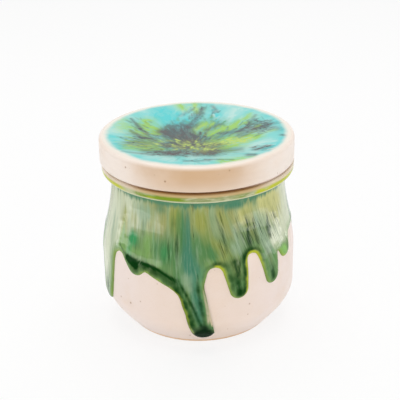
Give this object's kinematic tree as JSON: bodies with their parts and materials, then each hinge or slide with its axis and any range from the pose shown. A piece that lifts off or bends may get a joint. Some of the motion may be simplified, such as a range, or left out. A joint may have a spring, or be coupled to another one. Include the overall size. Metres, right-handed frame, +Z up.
{
  "type": "lidded stoneware canister",
  "caption": "Round hand-thrown stoneware jar with a waisted neck, rim bead and flat lift-off cap lid, coated with a runny drip glaze, for keeping dry food.",
  "frame": {"origin": "middle of the foot ring, on the surface that the canister stands on", "axes": "+Z up along the axis that the jar and lid were turned on; -Y is the side that the picture shows"},
  "size_m": [0.1058, 0.1068, 0.1054],
  "materials": {
    "jar_clay": "cream satin stoneware with fine iron specks, bare at the rim and foot",
    "liner": "glossy pale liner glaze",
    "drips": "thick glossy green drip glaze with olive, teal and cream streaks",
    "lid_clay": "cream satin stoneware with fine iron specks",
    "pool": "glossy turquoise glaze pool with lime and charcoal rays"
  },
  "bodies": {
    "jar": {"jar_body": "jar_clay", "liner_glaze": "liner", "drip_glaze": "drips"},
    "lid": {"lid_body": "lid_clay", "lid_glaze": "pool"}
  },
  "joints": [
    {"name": "lid_lift", "type": "slide", "parent": "jar", "child": "lid", "axis": [0, 0, 1], "range_m": [0, 0.12]}
  ]
}
